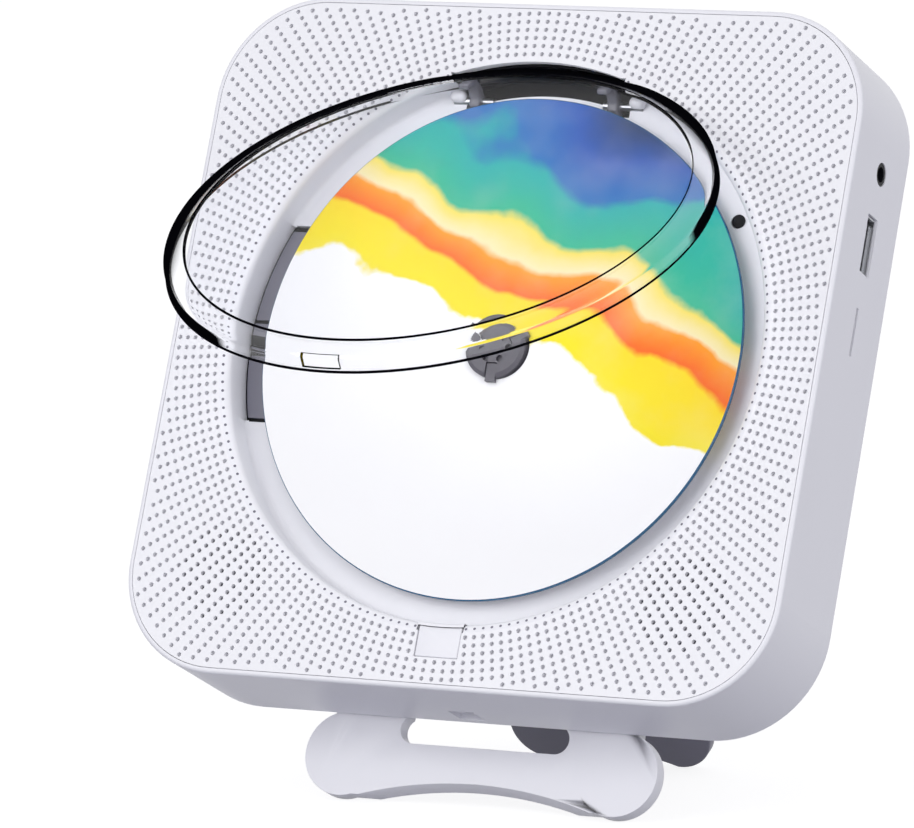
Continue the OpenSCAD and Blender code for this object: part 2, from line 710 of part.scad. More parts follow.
lug_in = 20;
lug_out = 34;
lug_top = -58;
notch_low = -half_h - 5.5;
notch_r = 3.4;
arch_r = 104;
arch_rise = 5;
arch_tilt = 16.7;
foot_screws = [for (x = [-29.5, 29.5], z = [-66, -76]) [x, z]];
module stand_foot() {
  color(white) seated() difference() {
    slab(foot_y0, foot_y0 + foot_t) foot_outline();
    for (p = foot_screws) post(p[0], p[1], 1.5, foot_y0 - 1, foot_y0 + foot_t + 1);
    translate([0, foot_y0, foot_low + arch_rise]) rotate([-90 - arch_tilt, 0, 0]) translate([0, arch_r, -20])
      cylinder(r = arch_r, h = 40, $fn = 180);
  }
}
module foot_outline() {
  difference() {
    union() {
      for (s = [-1, 1]) translate([s * toe_x, foot_low + toe_r]) circle(r = toe_r);
      for (s = [0, 1]) mirror([s, 0]) polygon([[0, notch_low], [lug_in - notch_r, notch_low], [lug_in - notch_r, lug_top + 5],
        [lug_in + 3, lug_top], [lug_out - 4, lug_top], [lug_out + 2, lug_top + 6], [lug_out + 4.4, -half_h],
        [toe_x + 4, foot_low + toe_r + 9], [toe_x + 6, foot_low + toe_r + 6], [toe_x, foot_low + 0.6], [0, foot_low + 0.6]]);
    }
    for (s = [-1, 1]) translate([s * (lug_in - 2), notch_low + notch_r]) circle(r = notch_r);
    translate([2 - lug_in, notch_low]) square([2 * lug_in - 4, 2 * notch_r]);
    translate([-lug_in, notch_low + notch_r]) square([2 * lug_in, lug_top - notch_low + 5]);
  }
}

module stand_screws() {
  color(steel) seated() {
    for (p = foot_screws) {
      post(p[0], p[1], 2.6, foot_y0 + foot_t + 0.1, foot_y0 + foot_t + 1.5);
      post(p[0], p[1], 1.2, back_y - 0.5, foot_y0 + foot_t + 0.2);
    }
    for (p = bracket_screws) {
      post(p[0], p[1], 2.4, body_d + 2.6, body_d + 4);
      post(p[0], p[1], 1.2, back_y - 0.5, body_d + 2.7);
    }
  }
}

ear_x = 14;
ear_t = 3;
bracket_screws = [for (x = [-9, 9], z = [-7, 7]) [x, prop_z + z]];
module prop_bracket() {
  color(dark) seated() difference() {
    union() {
      slab(body_d + 0.1, body_d + 2.5) translate([0, prop_z]) rounded(2 * (ear_x + ear_t) + 6, 22, 4);
      for (s = [-1, 1]) {
        x0 = s > 0 ? ear_x : -ear_x - ear_t;
        bar_x(x0, x0 + ear_t, prop_axis_y, prop_z, 4);
        box([x0, body_d + 2, prop_z - 4], [x0 + ear_t, prop_axis_y, prop_z + 4]);
      }
    }
    bar_x(-ear_x - ear_t - 1, ear_x + ear_t + 1, prop_axis_y, prop_z, 1.52);
    for (p = bracket_screws) post(p[0], p[1], 1.4, body_d - 1, body_d + 4);
  }
}

module prop_pin() {
  color(steel) seated() bar_x(-ear_x - ear_t - 0.4, ear_x + ear_t + 0.4, prop_axis_y, prop_z, 1.5);
}

// turns the prop about its pin from folded flat to standing
module propped() {
  translate([0, prop_axis_y, prop_z]) rotate([prop_open, 0, 0]) translate([0, -prop_axis_y, -prop_z]) children();
}

prop_toe_x = 17;
prop_toe_r = 9;
module prop_leg() {
  color(dark) seated() propped() difference() {
    union() {
      slab(prop_axis_y - prop_t / 2, prop_axis_y + prop_t / 2) {
        for (s = [-1, 1]) translate([s * prop_toe_x, prop_z - prop_l + prop_toe_r]) circle(r = prop_toe_r);
        polygon([[-prop_toe_x, prop_z - prop_l + 2], [prop_toe_x, prop_z - prop_l + 2],
          [prop_toe_x + prop_toe_r - 1, prop_z - prop_l + prop_toe_r + 4], [ear_x - 0.3, prop_z - 30],
          [ear_x - 0.3, prop_z], [-ear_x + 0.3, prop_z], [-ear_x + 0.3, prop_z - 30],
          [-prop_toe_x - prop_toe_r + 1, prop_z - prop_l + prop_toe_r + 4]]);
      }
      bar_x(-ear_x + 0.3, ear_x - 0.3, prop_axis_y, prop_z, 3.4);
    }
    bar_x(-ear_x - 1, ear_x + 1, prop_axis_y, prop_z, 1.5 + run_gap);
    translate([0, prop_axis_y, prop_z - prop_l - 46 + 3]) rotate([-90, 0, 0]) cylinder(r = 46, h = 40, center = true, $fn = 180);
  }
}

rear_shell();
front_baffle();
front_grille();
disc_bay();
hinge_pocket();
hinge_pins();
lid();
open_button();
button_spring();
lid_latch();
latch_spring();
ir_window();
mech_deck();
deck_bushes();
deck_screws();
spindle_motor();
turntable();
hub_jaws();
compact_disc();
pickup_sled();
pickup_lens();
guide_rails();
main_board();
io_board();
usb_port();
card_socket();
aux_jack();
dc_jack();
speaker_frames();
speaker_cones();
speaker_magnets();
key_1();
key_2();
key_3();
key_4();
key_5();
key_board();
housing_screws();
stand_foot();
stand_screws();
prop_bracket();
prop_pin();
prop_leg();
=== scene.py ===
# Slim wall player for discs, leaning back on its stand with the clear lid open
import json
import math

import bmesh
import bpy
from mathutils import Matrix, Vector
from mathutils.geometry import delaunay_2d_cdt

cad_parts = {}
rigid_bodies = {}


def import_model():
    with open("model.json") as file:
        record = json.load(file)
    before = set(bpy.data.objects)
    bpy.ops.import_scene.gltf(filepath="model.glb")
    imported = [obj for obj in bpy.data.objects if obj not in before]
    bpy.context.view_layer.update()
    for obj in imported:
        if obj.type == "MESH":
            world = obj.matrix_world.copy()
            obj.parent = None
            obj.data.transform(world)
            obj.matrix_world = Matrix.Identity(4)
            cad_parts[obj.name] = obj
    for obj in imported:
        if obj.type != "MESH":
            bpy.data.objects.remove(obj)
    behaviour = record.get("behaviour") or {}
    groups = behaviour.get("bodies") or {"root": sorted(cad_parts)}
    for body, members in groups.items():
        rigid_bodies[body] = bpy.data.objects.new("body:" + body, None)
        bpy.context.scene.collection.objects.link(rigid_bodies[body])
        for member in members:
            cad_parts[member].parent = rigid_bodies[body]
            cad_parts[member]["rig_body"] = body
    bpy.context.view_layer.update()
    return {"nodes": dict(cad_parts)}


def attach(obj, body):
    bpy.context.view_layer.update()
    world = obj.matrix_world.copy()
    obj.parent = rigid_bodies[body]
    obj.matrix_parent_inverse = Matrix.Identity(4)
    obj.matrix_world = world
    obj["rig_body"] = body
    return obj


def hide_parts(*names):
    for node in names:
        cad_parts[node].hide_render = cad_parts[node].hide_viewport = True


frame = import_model()
nodes = frame["nodes"]
print("frame loaded")

# where the upright player stands, in mm and degrees
player = {"lean": 22.9, "seatY": 5.2636, "seatZ": 107.1066}
playerPlace = Matrix.Translation((0, player["seatY"] / 1000, player["seatZ"] / 1000)) @ Matrix.Rotation(
    -math.radians(player["lean"]), 4, "X")

# ---- camera
view = {"place": (753.04, -1520.83, -438.07), "right": (0.89987473, 0.40168484, 0.16992573),
        "down": (0.05106495, 0.28989216, -0.95569603), "ahead": (-0.43314874, 0.86868396, 0.24035461),
        "pixelsPerUnit": 7679.68, "width": 914}


def makeCamera():
    data = bpy.data.cameras.new("camera")
    data.sensor_width = 36
    data.lens = view["pixelsPerUnit"] / view["width"] * 36
    data.clip_end = 50
    turn = Matrix((view["right"], [-v for v in view["down"]], [-v for v in view["ahead"]])).transposed().to_4x4()
    camera = bpy.data.objects.new("camera", data)
    camera.matrix_world = playerPlace @ Matrix.Translation(Vector(view["place"]) / 1000) @ turn
    bpy.context.scene.collection.objects.link(camera)
    bpy.context.scene.camera = camera


makeCamera()
bpy.context.scene.view_settings.view_transform = "Standard"
print("camera placed")


# ---- shader maths: a socket that can be added, multiplied and so on
class Wire:
    def __init__(self, finish, socket):
        self.finish, self.socket = finish, socket

    def maths(self, operation, other=None, flip=False):
        pair = [self] if other is None else [other, self] if flip else [self, other]
        return self.finish.node("ShaderNodeMath", {"operation": operation}, dict(enumerate(pair)))

    def __add__(self, other): return self.maths("ADD", other)
    def __sub__(self, other): return self.maths("SUBTRACT", other)
    def __mul__(self, other): return self.maths("MULTIPLY", other)
    def __truediv__(self, other): return self.maths("DIVIDE", other)
    def __radd__(self, other): return self.maths("ADD", other, True)
    def __rsub__(self, other): return self.maths("SUBTRACT", other, True)
    def __rmul__(self, other): return self.maths("MULTIPLY", other, True)
    def __gt__(self, other): return self.maths("GREATER_THAN", other)


class Finish:
    def __init__(self, name, owner=None):
        self.owner = owner or bpy.data.materials.new(name)
        self.owner.use_nodes = True
        self.tree = self.owner.node_tree
        self.tree.nodes.clear()

    # settings are set first, then sockets get values or links, and out names the socket that comes back
    def node(self, kind, settings=None, sockets=None, out=0):
        made = self.tree.nodes.new(kind)
        for key, value in (settings or {}).items():
            if key == "stops":
                ramp = made.color_ramp
                while len(ramp.elements) < len(value):
                    ramp.elements.new(0.5)
                for element, (place, colour) in zip(ramp.elements, value):
                    element.position, element.color = place, (*colour, 1)
            elif key == "interpolation":
                made.color_ramp.interpolation = value
            else:
                setattr(made, key, value)
        for key, value in (sockets or {}).items():
            if isinstance(value, Wire):
                self.tree.links.new(value.socket, made.inputs[key])
            else:
                made.inputs[key].default_value = value
        return Wire(self, made.outputs[out]) if made.outputs else None

    def spot(self): return self.node("ShaderNodeTexCoord", out="Object")

    def noise(self, spot, scale, detail=2, stretch=(1, 1, 1)):
        moved = self.node("ShaderNodeMapping", {}, {"Vector": spot, "Scale": stretch})
        return self.node("ShaderNodeTexNoise", {}, {"Vector": moved, "Scale": scale, "Detail": detail})

    def mix(self, factor, first, second):
        return self.node("ShaderNodeMix", {"data_type": "RGBA"}, {0: factor, 6: first, 7: second}, out=2)

    def bump(self, height, distance, strength=1):
        return self.node("ShaderNodeBump", {}, {"Height": height, "Distance": distance, "Strength": strength})

    def surface(self, sockets):
        shader = self.node("ShaderNodeBsdfPrincipled", {}, sockets)
        return self.finish(shader)

    def finish(self, shader):
        self.node("ShaderNodeOutputMaterial", {}, {"Surface": shader})
        return self.owner


def rgba(colour): return (*colour, 1)


# moulded plastic: slow change of tone, fine spark grain, roughness that wanders a little
def plastic(name, colour, rough=0.38, grain=2200, depth=0.000012, shade=0.96, gloss=0.5):
    kit = Finish(name)
    spot = kit.spot()
    slow = kit.noise(spot, 16, 3)
    fine = kit.noise(spot, grain, 2)
    tone = kit.mix(slow, rgba(colour), rgba([c * shade for c in colour]))
    return kit.surface({"Base Color": tone, "Roughness": rough - 0.05 + slow * 0.1, "Specular IOR Level": gloss,
                        "Normal": kit.bump(fine, depth, 0.6)})


def metal(name, colour, rough=0.3, stretch=(1, 1, 30)):
    kit = Finish(name)
    spot = kit.spot()
    lines = kit.noise(spot, 900, 3, stretch)
    tone = kit.mix(lines, rgba(colour), rgba([c * 0.8 for c in colour]))
    return kit.surface({"Base Color": tone, "Metallic": 1.0, "Roughness": rough - 0.08 + lines * 0.16,
                        "Normal": kit.bump(lines, 0.00001, 0.5)})


def circuitBoard(name):
    kit = Finish(name)
    spot = kit.spot()
    cells = kit.node("ShaderNodeTexVoronoi", {"distance": "CHEBYCHEV"}, {"Vector": spot, "Scale": 260})
    traces = cells > 0.42
    tone = kit.mix(traces, (0.02, 0.16, 0.07, 1), (0.05, 0.27, 0.12, 1))
    return kit.surface({"Base Color": tone, "Roughness": 0.32 + traces * 0.1, "Normal": kit.bump(traces, 0.00003)})


# black, edgeStart and edgeSharp set the painted dark refraction on the lid's rounded edge
clearPlastic = {"tint": (0.965, 0.97, 0.985), "faceBend": 1.12, "edgeBend": 1.42, "shadow": 0.85, "edgeStart": 0.53,
                "edgeSharp": 25, "black": (0.002, 0.002, 0.003), "veil": (0.93, 0.93, 0.95)}


# the lid: clear, with a light shadow. Its rounded edge has painted dark refraction: where it is seen at a
# slant it is mixed to a black surface, in place of the dark that thick clear plastic shows
def clearShell(name, paintedDarkEdge):
    kit = Finish(name)
    spot = kit.spot()
    wave = kit.noise(spot, 30, 2)
    shader = kit.node("ShaderNodeBsdfPrincipled", {}, {
        "Base Color": rgba(clearPlastic["tint"]), "Roughness": 0.0 + wave * 0.01,
        "IOR": clearPlastic["edgeBend" if paintedDarkEdge else "faceBend"],
        "Transmission Weight": 1.0, "Normal": kit.bump(wave, 0.00003, 0.3)})
    if paintedDarkEdge:
        # painted dark refraction: a black surface mixed onto the edge where it is seen at a slant
        black = kit.node("ShaderNodeBsdfPrincipled", {}, {
            "Base Color": rgba(clearPlastic["black"]), "Roughness": 0.9 + wave * 0.1, "Specular IOR Level": 0.0})
        slant = kit.node("ShaderNodeLayerWeight", {}, {"Blend": 0.5}, out="Facing")
        edge = kit.node("ShaderNodeClamp", {}, {
            "Value": (slant - clearPlastic["edgeStart"]) * clearPlastic["edgeSharp"]})
        shader = kit.node("ShaderNodeMixShader", {}, {0: edge, 1: shader, 2: black})
    veil = kit.node("ShaderNodeBsdfTransparent", {}, {"Color": rgba(clearPlastic["veil"])})
    ray = kit.node("ShaderNodeLightPath", out="Is Shadow Ray")
    return kit.finish(kit.node("ShaderNodeMixShader", {}, {0: ray * clearPlastic["shadow"], 1: shader, 2: veil}))


materials = {
    "whiteShell": plastic("whiteShell", (0.86, 0.86, 0.9), 0.4),
    "whitePanel": plastic("whitePanel", (0.9, 0.9, 0.93), 0.45),
    "whiteBay": plastic("whiteBay", (0.87, 0.87, 0.91), 0.35),
    "keyCaps": plastic("keyCaps", (0.8, 0.8, 0.85), 0.3),
    "darkGreyAndHoleShade": plastic("darkGreyAndHoleShade", (0.19, 0.185, 0.235), 0.42, 1500, 0.00003, 0.85),
    "deckGrey": plastic("deckGrey", (0.25, 0.245, 0.3), 0.5, 1500, 0.00003, 0.85),
    "blackPlasticAndShade": plastic("blackPlasticAndShade", (0.006, 0.006, 0.009), 0.5, 1500, 0.00002, 0.7, gloss=0.2),
    "hubGrey": plastic("hubGrey", (0.095, 0.09, 0.11), 0.4, 1600, 0.00002, 0.85),
    "rubber": plastic("rubber", (0.02, 0.02, 0.022), 0.7, 900, 0.00004, 0.8),
    "paperCone": plastic("paperCone", (0.02, 0.02, 0.021), 0.85, 700, 0.0001, 0.7),
    "steel": metal("steel", (0.62, 0.63, 0.66)),
    "magnet": metal("magnet", (0.2, 0.2, 0.21), 0.5),
    "board": circuitBoard("board"),
    # black for the painted dark refraction lines on the lid
    "lidPaintedDarkLine": plastic("lidPaintedDarkLine", (0.004, 0.004, 0.006), 0.8, 1500, 0.00002, 0.7, gloss=0.0),
    "clearLid": clearShell("clearLid", False),
    "clearPaintedDarkEdge": clearShell("clearPaintedDarkEdge", True),
}

wearing = {
    "whiteShell": ["rear_shell", "stand_foot", "open_button", "lid_latch"],
    "whitePanel": ["front_baffle", "front_grille"],
    "whiteBay": ["disc_bay"],
    "keyCaps": ["key_1", "key_2", "key_3", "key_4", "key_5"],
    "darkGreyAndHoleShade": ["prop_leg", "prop_bracket", "speaker_frames"],
    "deckGrey": ["mech_deck"],
    # hinge_pocket's black is painted shade of the hinge's cavity; the other parts here are black plastic
    "blackPlasticAndShade": ["hinge_pocket", "ir_window", "pickup_sled", "aux_jack", "dc_jack"],
    "hubGrey": ["turntable", "hub_jaws"],
    "rubber": ["deck_bushes"],
    "paperCone": ["speaker_cones"],
    "steel": ["hinge_pins", "button_spring", "latch_spring", "deck_screws", "spindle_motor", "guide_rails", "usb_port",
              "card_socket", "housing_screws", "stand_screws", "prop_pin"],
    "magnet": ["speaker_magnets"],
    "board": ["main_board", "io_board", "key_board"],
    "clearLid": ["lid", "pickup_lens"],
}


def dress():
    for finish, names in wearing.items():
        for name in names:
            slots = nodes[name].data.materials
            for index in range(len(slots)):
                slots[index] = materials[finish]
            if not len(slots):
                slots.append(materials[finish])


dress()
print("finishes made")


# ---- pieces. A piece is drawn in the upright player's own frame, in mm, and placed with it
def addPiece(name, points, faces, finish, body, smooth=False):
    used = {number: place for place, number in enumerate(sorted({i for face in faces for i in face}))}
    mesh = bpy.data.meshes.new(name)
    mesh.from_pydata([Vector(points[i]) / 1000 for i in used], [], [[used[i] for i in face] for face in faces])
    mesh.materials.append(materials[finish])
    mesh.validate()
    for face in mesh.polygons:
        face.use_smooth = smooth
    piece = bpy.data.objects.new(name, mesh)
    bpy.context.scene.collection.objects.link(piece)
    if body == "lid":  # the open lid leans far out, so its mesh is turned with it and its box stays inside the part's
        mesh.transform(playerPlace)
    else:
        piece.matrix_world = playerPlace
    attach(piece, body)
    return piece


def ringPoints(radius, count, start=0.0):
    return [(radius * math.cos(start + 2 * math.pi * i / count), radius * math.sin(start + 2 * math.pi * i / count))
            for i in range(count)]


def roundedOutline(halfWidth, halfHeight, corner, steps=14):
    points = []
    for sx, sz, start in ((1, 1, 0), (-1, 1, 90), (-1, -1, 180), (1, -1, 270)):
        for i in range(steps + 1):
            a = math.radians(start + 90 * i / steps)
            points.append((sx * (halfWidth - corner) + corner * math.cos(a),
                           sz * (halfHeight - corner) + corner * math.sin(a)))
    return points


skin = {"half": 80.65, "corner": 24.15, "thick": 1.3, "bayRadius": 68.6, "pocketRadius": 67.9, "pocketHalf": 21.6,
        "tabHalf": 5.55, "tabLow": -74.6, "firstRing": 69.75, "ringStep": 1.98, "rings": 24, "perRing": 200,
        "holeRadius": 0.56, "holeSides": 10, "edge": 79.75, "edgeCorner": 23.0, "tabClear": 6.3}


def bayEdge(steps=240):
    points = []
    for i in range(steps):
        a = 2 * math.pi * i / steps + math.pi / 2
        x, z = skin["bayRadius"] * math.cos(a), skin["bayRadius"] * math.sin(a)
        if abs(x) < skin["pocketHalf"] and z > 0:
            x, z = skin["pocketRadius"] * math.cos(a), skin["pocketRadius"] * math.sin(a)
        if abs(x) < skin["tabHalf"] and z < 0:
            if points[-1][1] > skin["tabLow"] + 1 and (not points or points[-1][0] < 0):
                top = -math.sqrt(skin["bayRadius"] ** 2 - skin["tabHalf"] ** 2)
                points += [(-skin["tabHalf"], top), (-skin["tabHalf"], skin["tabLow"]),
                           (skin["tabHalf"], skin["tabLow"]), (skin["tabHalf"], top)]
            continue
        points.append((x, z))
    return points


def insideSkin(x, z):
    reach, corner = skin["edge"], skin["edgeCorner"]
    dx, dz = abs(x) - (reach - corner), abs(z) - (reach - corner)
    if abs(x) > reach or abs(z) > reach or (dx > 0 and dz > 0 and math.hypot(dx, dz) > corner):
        return False
    return not (abs(x) < skin["tabClear"] and z < 0 and z > skin["tabLow"] - 0.8)


def makeSkin():
    loops = [roundedOutline(skin["half"], skin["half"], skin["corner"], 20), bayEdge()]
    hole = ringPoints(skin["holeRadius"], skin["holeSides"])
    for k in range(skin["rings"]):
        radius = skin["firstRing"] + k * skin["ringStep"]
        for x, z in ringPoints(radius, skin["perRing"], math.pi / 2):
            if insideSkin(x, z):
                loops.append([(x + u, z + v) for u, v in hole])
    flat = [Vector(p) for loop in loops for p in loop]
    owner, edges, base = [], [], 0
    for number, loop in enumerate(loops):
        count = len(loop)
        edges += [(base + i, base + (i + 1) % count) for i in range(count)]
        owner += [number] * count
        base += count
    points, _, faces, origins, _, _ = delaunay_2d_cdt(flat, edges, [], 0, 1e-5)
    owned = [owner[o[0]] if o else -1 for o in origins]
    bay = skin["bayRadius"]

    def solid(face):
        marks = {owned[i] for i in face}
        if len(marks) == 1 and max(marks) >= 2:
            return False
        x = sum(points[i].x for i in face) / 3
        z = sum(points[i].y for i in face) / 3
        if marks == {1} and (math.hypot(x, z) < bay + 0.02 or (abs(x) < skin["tabHalf"] and skin["tabLow"] < z < 0)):
            return False
        return marks != {0} or abs(x) < skin["half"] and insideCorner(x, z)

    def insideCorner(x, z):
        inner = skin["half"] - skin["corner"]
        dx, dz = abs(x) - inner, abs(z) - inner
        return not (dx > 0 and dz > 0 and math.hypot(dx, dz) > skin["corner"])

    kept = [f for f in faces if solid(f)]
    body = [(p.x, 0.0, p.y) for p in points]
    shift = len(body)
    body += [(p.x, skin["thick"], p.y) for p in points]
    sides, base = [], 0
    place = {}
    for index, origin in enumerate(origins):
        for o in origin:
            place[o] = index
    for number, loop in enumerate(loops):
        count = len(loop)
        for i in range(count):
            a, b = place[base + i], place[base + (i + 1) % count]
            sides.append((a, b, b + shift, a + shift) if number else (b, a, a + shift, b + shift))
        base += count
    piece = addPiece("frontSkin", body, [tuple(f) for f in kept] + sides, "whitePanel", "housing")
    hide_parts("front_grille")
    print("front skin:", len(loops) - 2, "holes,", len(kept), "front faces")


makeSkin()

# ---- soft edged copies of plain solids
softEdges = {"stand_foot": ("footPlate", 0.9, "whiteShell", "shell"),
             "prop_leg": ("propLeg", 0.7, "darkGreyAndHoleShade", "dark"),
             "open_button": ("openButton", 0.25, "whiteShell", "shell"),
             "prop_bracket": ("propBracket", 0.4, "darkGreyAndHoleShade", "dark")}


def soften(node, name, width, finish):
    mesh = nodes[node].data.copy()
    mesh.name = name
    work = bmesh.new()
    work.from_mesh(mesh)
    bmesh.ops.remove_doubles(work, verts=work.verts, dist=1e-6)
    bmesh.ops.dissolve_limit(work, angle_limit=math.radians(0.5), verts=work.verts, edges=work.edges)
    work.to_mesh(mesh)
    work.free()
    mesh.materials.clear()
    mesh.materials.append(materials[finish])
    for face in mesh.polygons:
        face.use_smooth = True
    piece = bpy.data.objects.new(name, mesh)
    bpy.context.scene.collection.objects.link(piece)
    bevel = piece.modifiers.new("edge", "BEVEL")
    bevel.width, bevel.segments, bevel.limit_method, bevel.angle_limit = width / 1000, 3, "ANGLE", math.radians(35)
    bevel.harden_normals = False
    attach(piece, nodes[node]["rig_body"])
    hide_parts(node)


for node, (name, width, finish, slotName) in softEdges.items():
    soften(node, name, width, finish)
print("soft edges made")

# ---- disc
disc = {"front": 3.85, "thick": 1.2, "outer": 60.0, "bore": 7.5, "round": 0.25, "sides": 192, "across": 0.5,
        "waveSlant": 0.32, "waveSway": 0.05, "waveRipple": 0.004, "waveStart": 0.002, "waveSpan": 0.068}


def discPrint(name):
    kit = Finish(name)
    spot = kit.spot()
    parts = kit.tree.nodes.new("ShaderNodeSeparateXYZ")
    kit.tree.links.new(spot.socket, parts.inputs[0])
    across, up = Wire(kit, parts.outputs[0]), Wire(kit, parts.outputs[2])
    sway = kit.noise(spot, 24, 1)
    ripple = kit.noise(spot, 150, 3)
    # broad slanting waves that run down from the top left, one colour after another
    height = up + across * disc["waveSlant"] + (sway - 0.5) * disc["waveSway"] + (ripple - 0.5) * disc["waveRipple"]
    level = (height + disc["waveStart"]) / disc["waveSpan"]
    ink = kit.node("ShaderNodeValToRGB", {"interpolation": "LINEAR", "stops": [
        (0.0, (0.9, 0.9, 0.91)), (0.012, (0.86, 0.72, 0.004)), (0.17, (0.9, 0.66, 0.004)), (0.2, (0.86, 0.13, 0.003)),
        (0.33, (0.9, 0.3, 0.004)), (0.36, (0.85, 0.74, 0.42)), (0.46, (0.82, 0.66, 0.1)), (0.49, (0.02, 0.42, 0.24)),
        (0.66, (0.006, 0.36, 0.34)), (0.7, (0.004, 0.13, 0.4)), (0.86, (0.003, 0.07, 0.36)), (1.0, (0.002, 0.03, 0.13))]},
        {0: level})
    wash = kit.noise(spot, 60, 4)
    tone = kit.mix((wash - 0.45) * 0.3, ink, (0.9, 0.9, 0.85, 1))
    return kit.surface({"Base Color": tone, "Roughness": 0.3 + wash * 0.06, "Specular IOR Level": 0.2})


def revolve(name, profile, finish, body, sides=128, place=(0, 0), smooth=True):
    points, faces = [], []
    count = len(profile)
    for i in range(sides):
        a = 2 * math.pi * i / sides
        points += [(place[0] + r * math.cos(a), y, place[1] + r * math.sin(a)) for r, y in profile]
    for i in range(sides):
        n = (i + 1) % sides
        for k in range(count):
            m = (k + 1) % count
            faces.append((i * count + k, i * count + m, n * count + m, n * count + k))
    return addPiece(name, points, faces, finish, body, smooth)


def makeDisc():
    front, back, e = disc["front"], disc["front"] + disc["thick"], disc["round"]
    materials["discPrint"] = discPrint("discPrint")
    # the clear rim gets a dark blue tone: painted shade for the dark line along the disc's edge
    materials["discEdgeShade"] = plastic("discEdgeShade", (0.01, 0.1, 0.22), 0.2)
    profile = [(disc["bore"], back), (disc["outer"] - e, back), (disc["outer"], back - e), (disc["outer"], front + e),
               (disc["outer"] - e, front), (disc["bore"], front)]
    piece = revolve("disc", profile, "discPrint", "turntable", disc["sides"], (disc["across"], 0), False)
    piece.data.materials.append(materials["discEdgeShade"])
    for face in piece.data.polygons:
        if face.index % len(profile) in (1, 2, 3):
            face.material_index = 1
    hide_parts("compact_disc")


makeDisc()
print("disc made")

# ---- the round bay: a soft roll from the front skin, the wall, the floor with its window and the hinge's pocket
bay = {"wall": 66.35, "roll": 2.25, "rollAtTab": 1.0, "floor": 8.4, "fillet": 1.1, "floorThick": 1.5, "hub": 17.0,
       "tabHalf": 5.7, "pocketHalf": 21.6, "windowLow": -19.6, "windowHigh": 28.1, "windowRight": 23.2, "shaftBack": 10.6,
       "pocketInner": 62.0, "legIn": 14.8, "legOut": 20.8, "legLow": 57.6, "irAcross": 52.3, "irUp": 34.1, "irRadius": 1.7,
       "shadeDiscRadius": 67.75, "shadeDiscs": 200, "shadeDiscSize": 0.34,
       "beyond": 70}  # cuts run out to here, past the wall


def inWindow(x, z, grow=0.0):
    return (bay["windowLow"] - grow < z < bay["windowHigh"] + grow and x < bay["windowRight"] + grow)


def inPocket(x, z):
    r = math.hypot(x, z)
    leg = bay["legIn"] < abs(x) < bay["legOut"] and z > bay["legLow"]
    return z > 0 and (leg or (abs(x) < bay["legOut"] and r > bay["pocketInner"]))


def bayAngles():
    marks = [2 * math.pi * i / 288 for i in range(288)]
    wall = bay["wall"]
    marks += [math.pi - math.asin(bay["windowHigh"] / wall), math.pi - math.asin(bay["windowLow"] / wall)]
    for half, base in ((bay["pocketHalf"], math.pi / 2), (bay["tabHalf"], -math.pi / 2)):
        turn = math.asin(half / wall)
        marks += [base - turn, base + turn]
    return sorted({round(a % (2 * math.pi), 6) for a in marks})


def bayProfile(x, z):
    roll = bay["rollAtTab"] if abs(x) < bay["tabHalf"] and z < 0 else bay["roll"]
    rows = [(bay["wall"] + roll * (1 - math.sin(math.pi / 2 * k / 8)), roll * (1 - math.cos(math.pi / 2 * k / 8)))
            for k in range(9)]
    for k in range(1, 7):
        turn, share = math.pi / 2 * k / 6, k / 6
        if inWindow(x, z) and x < 0:
            deeper = bay["shaftBack"] - bay["floor"] + bay["fillet"]
            rows.append((bay["wall"], bay["floor"] - bay["fillet"] + share * deeper))
        else:
            rows.append((bay["wall"] - bay["fillet"] * (1 - math.cos(turn)),
                         bay["floor"] - bay["fillet"] * (1 - math.sin(turn))))
    return rows


def bayWall():
    points, faces = [], []
    angles = bayAngles()
    for a, b in zip(angles, angles[1:] + [angles[0] + 2 * math.pi]):
        middle = (a + b) / 2
        x, z = bay["wall"] * math.cos(middle), bay["wall"] * math.sin(middle)
        if abs(x) < bay["pocketHalf"] and z > 0:
            continue
        rows = bayProfile(x, z)
        base = len(points)
        for angle in (a, b):
            points += [(r * math.cos(angle), y, r * math.sin(angle)) for r, y in rows]
        count = len(rows)
        faces += [(base + k, base + k + 1, base + count + k + 1, base + count + k) for k in range(count - 1)]
    return points, faces


# a flat sheet between outlines, kept where keep(x, z) holds, with its edges turned back
def flatSheet(loops, keep, y, thick):
    flat = [Vector(p) for loop in loops for p in loop]
    edges, base = [], 0
    for loop in loops:
        edges += [(base + i, base + (i + 1) % len(loop)) for i in range(len(loop))]
        base += len(loop)
    spots, _, cells, _, _, _ = delaunay_2d_cdt(flat, edges, [], 0, 1e-5)
    kept = [f for f in cells if keep(sum(spots[i].x for i in f) / 3, sum(spots[i].y for i in f) / 3)]
    sides = {}
    for f in kept:
        for i in range(len(f)):
            a, b = f[i], f[(i + 1) % len(f)]
            if (b, a) in sides:
                del sides[(b, a)]
            else:
                sides[(a, b)] = True
    shift = len(spots)
    points = [(p.x, y, p.y) for p in spots] + [(p.x, y + thick, p.y) for p in spots]
    faces = [tuple(f) for f in kept] + [(b, a, a + shift, b + shift) for a, b in sides]
    return points, faces


